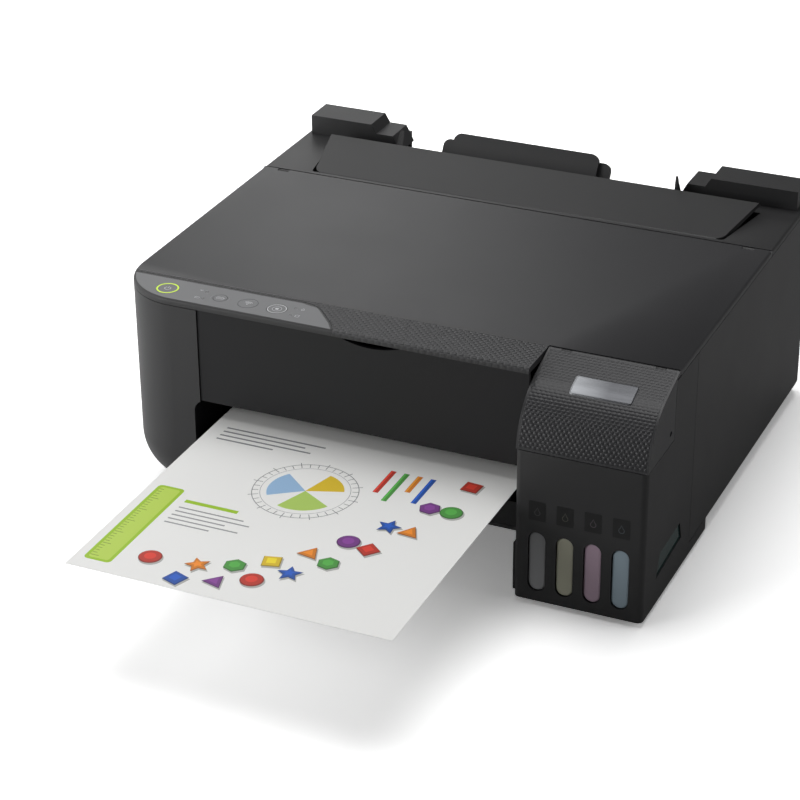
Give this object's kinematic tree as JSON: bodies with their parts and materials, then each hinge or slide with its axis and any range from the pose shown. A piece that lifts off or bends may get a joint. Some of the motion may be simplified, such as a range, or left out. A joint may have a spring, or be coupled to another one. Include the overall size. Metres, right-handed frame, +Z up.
{
  "type": "inkjet printer with ink tanks",
  "caption": "Single-function inkjet printer: hinged top cover, ink tank unit at the right front, rear feeder with support and guard, belt-driven carriage, geared rollers and a sheet coming out.",
  "frame": {"origin": "on the table under the middle of the printer's own footprint, 375 mm wide and 347 mm deep, the sheet left out", "axes": "+X to the printer's right as seen by its user, +Y to its back, +Z up"},
  "size_m": [0.375, 0.5195, 0.168],
  "materials": {
    "case_black": "fine matt grain",
    "cover_black": "matt with a fine woven texture",
    "tank_cover_black": "coarse scale texture",
    "panel_black": "smooth matt",
    "deck_grey": "printed grey film, satin",
    "button_grey": "satin",
    "lens": "clear light pipe",
    "board_green": "circuit board",
    "foot_rubber": "matt",
    "inner_black": "matt",
    "socket_black": "smooth",
    "supply_case": "sealed block",
    "sheet_steel": "zinc-plated",
    "rail_steel": "ground",
    "strip_film": "clear film",
    "motor_steel": "plated",
    "belt_rubber": "ribbed inside",
    "pad_felt": "absorbent felt",
    "tank_black": "translucent over dark ink",
    "tank_yellow": "translucent over yellow ink",
    "tank_magenta": "translucent over magenta ink",
    "tank_cyan": "translucent over cyan ink",
    "tube_plastic": "four tubes, one for each ink",
    "cable_white": "flat cable",
    "screw_steel": "zinc-plated",
    "support_black": "smooth matt",
    "cap_black": "matt",
    "cap_yellow": "matt",
    "cap_magenta": "matt",
    "cap_cyan": "matt",
    "head_grey": "moulded",
    "pulley_brass": "turned",
    "pulley_white": "moulded",
    "gear_white": "acetal",
    "roller_steel": "steel shaft with rubber sleeves",
    "star_steel": "stamped",
    "cap_unit_grey": "moulded seal",
    "paper": "coated paper, printed on top"
  },
  "bodies": {
    "case": {"outer_case": "case_black", "base_case": "inner_black", "front_panel": "panel_black", "control_deck": "case_black", "control_overlay": "deck_grey", "indicator_lenses": "lens", "control_board": "board_green", "rubber_feet": "foot_rubber", "rear_feeder": "case_black", "rear_sockets": "socket_black", "power_supply": "supply_case", "main_board": "board_green", "main_frame": "sheet_steel", "guide_rail": "rail_steel", "encoder_strip": "strip_film", "carriage_motor": "motor_steel", "drive_belt": "belt_rubber", "paper_motor": "motor_steel", "platen": "inner_black", "ink_pad": "pad_felt", "star_wheel_holder": "inner_black", "pinch_holder": "inner_black", "tank_case": "case_black", "black_tank": "tank_black", "yellow_tank": "tank_yellow", "magenta_tank": "tank_magenta", "cyan_tank": "tank_cyan", "ink_tubes": "tube_plastic", "case_screws": "screw_steel"},
    "printer_cover": {"printer_cover": "cover_black"},
    "feeder_guard": {"feeder_guard": "support_black"},
    "paper_support": {"paper_support": "support_black"},
    "support_extension": {"support_extension": "support_black"},
    "edge_guide": {"edge_guide": "support_black"},
    "tank_cover": {"tank_cover": "tank_cover_black"},
    "black_cap": {"black_cap": "cap_black"},
    "yellow_cap": {"yellow_cap": "cap_yellow"},
    "magenta_cap": {"magenta_cap": "cap_magenta"},
    "cyan_cap": {"cyan_cap": "cap_cyan"},
    "power_button": {"power_button": "button_grey"},
    "info_button": {"info_button": "button_grey"},
    "wifi_button": {"wifi_button": "button_grey"},
    "stop_button": {"stop_button": "button_grey"},
    "carriage": {"carriage": "inner_black", "print_head": "head_grey", "tube_loop": "tube_plastic", "flat_cable": "cable_white"},
    "motor_pulley": {"motor_pulley": "pulley_brass"},
    "idler_pulley": {"idler_pulley": "pulley_white"},
    "feed_roller": {"feed_roller": "roller_steel"},
    "motor_pinion": {"motor_pinion": "pulley_brass"},
    "idler_gear": {"idler_gear": "gear_white"},
    "exit_roller": {"exit_roller": "roller_steel"},
    "star_wheels": {"star_wheels": "star_steel"},
    "pinch_rollers": {"pinch_rollers": "head_grey"},
    "pickup_roller": {"pickup_roller": "roller_steel"},
    "output_tray": {"output_tray": "inner_black"},
    "tray_extension": {"tray_extension": "inner_black"},
    "printed_sheet": {"printed_sheet": "paper"},
    "capping_unit": {"capping_unit": "cap_unit_grey"}
  },
  "joints": [
    {"name": "cover_hinge", "type": "hinge", "parent": "case", "child": "printer_cover", "pos_m": [0, 0.07, 0.15], "axis": [-1, 0, 0], "range_deg": [0, 55]},
    {"name": "guard_hinge", "type": "hinge", "parent": "case", "child": "feeder_guard", "pos_m": [0, 0.0771, 0.15], "axis": [1, 0, 0], "range_deg": [0, 85]},
    {"name": "tank_cover_hinge", "type": "hinge", "parent": "case", "child": "tank_cover", "pos_m": [0.14525, -0.1196, 0.1504], "axis": [-1, 0, 0], "range_deg": [0, 95]},
    {"name": "support_slide", "type": "slide", "parent": "case", "child": "paper_support", "axis": [0, 0.515, 0.8572], "range_m": [0, 0.058]},
    {"name": "extension_slide", "type": "slide", "parent": "paper_support", "child": "support_extension", "axis": [0, 0.515, 0.8572], "range_m": [0, 0.05]},
    {"name": "edge_guide_slide", "type": "slide", "parent": "case", "child": "edge_guide", "axis": [1, 0, 0], "range_m": [0, 0.1]},
    {"name": "black_cap_lift", "type": "slide", "parent": "case", "child": "black_cap", "axis": [0, 0, 1], "range_m": [0, 0.016]},
    {"name": "yellow_cap_lift", "type": "slide", "parent": "case", "child": "yellow_cap", "axis": [0, 0, 1], "range_m": [0, 0.016]},
    {"name": "magenta_cap_lift", "type": "slide", "parent": "case", "child": "magenta_cap", "axis": [0, 0, 1], "range_m": [0, 0.016]},
    {"name": "cyan_cap_lift", "type": "slide", "parent": "case", "child": "cyan_cap", "axis": [0, 0, 1], "range_m": [0, 0.016]},
    {"name": "power_button_press", "type": "slide", "parent": "case", "child": "power_button", "axis": [0, 0, -1], "range_m": [0, 0.0008], "stiffness_N_per_m": 800},
    {"name": "info_button_press", "type": "slide", "parent": "case", "child": "info_button", "axis": [0, 0, -1], "range_m": [0, 0.0008], "stiffness_N_per_m": 800},
    {"name": "wifi_button_press", "type": "slide", "parent": "case", "child": "wifi_button", "axis": [0, 0, -1], "range_m": [0, 0.0008], "stiffness_N_per_m": 800},
    {"name": "stop_button_press", "type": "slide", "parent": "case", "child": "stop_button", "axis": [0, 0, -1], "range_m": [0, 0.0008], "stiffness_N_per_m": 800},
    {"name": "carriage_slide", "type": "slide", "parent": "case", "child": "carriage", "axis": [1, 0, 0], "range_m": [-0.25, 0], "deforming": ["tube_loop", "flat_cable"]},
    {"name": "motor_pulley_spin", "type": "hinge", "parent": "case", "child": "motor_pulley", "pos_m": [-0.1655, 0.007, 0.118], "axis": [0, 1, 0], "range_deg": [0, 2430]},
    {"name": "idler_pulley_spin", "type": "hinge", "parent": "case", "child": "idler_pulley", "pos_m": [0.1655, 0.007, 0.118], "axis": [0, 1, 0], "range_deg": [0, 2430]},
    {"name": "feed_roller_spin", "type": "hinge", "parent": "case", "child": "feed_roller", "pos_m": [0, -0.01, 0.06575], "axis": [1, 0, 0], "continuous": true},
    {"name": "motor_pinion_spin", "type": "hinge", "parent": "case", "child": "motor_pinion", "pos_m": [-0.154, -0.01, 0.04025], "axis": [1, 0, 0], "continuous": true},
    {"name": "idler_gear_spin", "type": "hinge", "parent": "case", "child": "idler_gear", "pos_m": [-0.154, -0.057, 0.06575], "axis": [1, 0, 0], "continuous": true},
    {"name": "exit_roller_spin", "type": "hinge", "parent": "case", "child": "exit_roller", "pos_m": [0, -0.104, 0.06575], "axis": [1, 0, 0], "continuous": true},
    {"name": "star_wheels_spin", "type": "hinge", "parent": "case", "child": "star_wheels", "pos_m": [0, -0.104, 0.07755], "axis": [1, 0, 0], "continuous": true},
    {"name": "pinch_rollers_spin", "type": "hinge", "parent": "case", "child": "pinch_rollers", "pos_m": [0, -0.01, 0.07605], "axis": [1, 0, 0], "continuous": true},
    {"name": "pickup_roller_spin", "type": "hinge", "parent": "case", "child": "pickup_roller", "pos_m": [0, 0.09, 0.098], "axis": [1, 0, 0], "continuous": true},
    {"name": "output_tray_slide", "type": "slide", "parent": "case", "child": "output_tray", "axis": [0, -1, 0], "range_m": [0, 0.09]},
    {"name": "tray_extension_slide", "type": "slide", "parent": "output_tray", "child": "tray_extension", "axis": [0, -1, 0], "range_m": [0, 0.08]},
    {"name": "sheet_feed", "type": "slide", "parent": "case", "child": "printed_sheet", "axis": [0, -1, 0], "range_m": [-0.1, 0.05]},
    {"name": "capping_lift", "type": "slide", "parent": "case", "child": "capping_unit", "axis": [0, 0, 1], "range_m": [-0.005, 0], "stiffness_N_per_m": 3000}
  ],
  "couplings": [
    {"joint": "motor_pulley_spin", "follows": "carriage_slide", "rad_per_m": -166.67},
    {"joint": "idler_pulley_spin", "follows": "carriage_slide", "rad_per_m": -166.67},
    {"joint": "idler_gear_spin", "follows": "feed_roller_spin", "ratio": -0.62069},
    {"joint": "exit_roller_spin", "follows": "feed_roller_spin", "ratio": 1},
    {"joint": "motor_pinion_spin", "follows": "feed_roller_spin", "ratio": -2.4},
    {"joint": "star_wheels_spin", "follows": "feed_roller_spin", "ratio": -1.2},
    {"joint": "pinch_rollers_spin", "follows": "feed_roller_spin", "ratio": -1.7143}
  ]
}
